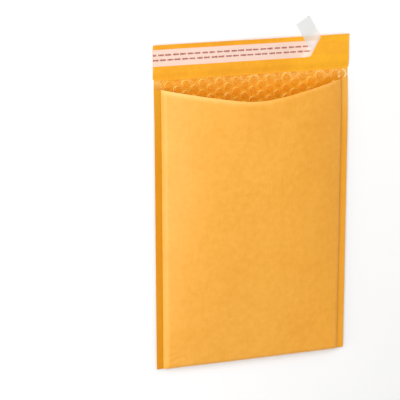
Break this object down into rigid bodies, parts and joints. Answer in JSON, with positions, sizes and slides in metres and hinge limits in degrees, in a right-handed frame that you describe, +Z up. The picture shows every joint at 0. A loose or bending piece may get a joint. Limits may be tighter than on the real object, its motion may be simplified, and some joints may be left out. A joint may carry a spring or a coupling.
{
  "type": "padded envelope",
  "caption": "Open padded kraft envelope lying flat: curved mouth, bubble film lining, sealed side seams and a closing flap with a partly peeled release strip.",
  "frame": {"origin": "middle of the flat outline's length and width, flap included, on the underside of the back panel", "axes": "+X across the envelope, +Y from the bottom fold towards the flap, +Z up out of the front panel"},
  "size_m": [0.23, 0.3959, 0.025],
  "materials": {
    "kraft_paper": "smooth golden brown kraft paper, matt to slight sheen",
    "bubble_film": "clear glossy bubble film that shows the kraft behind it",
    "adhesive": "clear glossy hot-melt glue",
    "liner_paper": "thin translucent white strip with small red marks"
  },
  "bodies": {
    "root": {"kraft_cover": "kraft_paper", "bubble_lining": "bubble_film", "adhesive_strip": "adhesive", "release_liner": "liner_paper"}
  },
  "joints": []
}
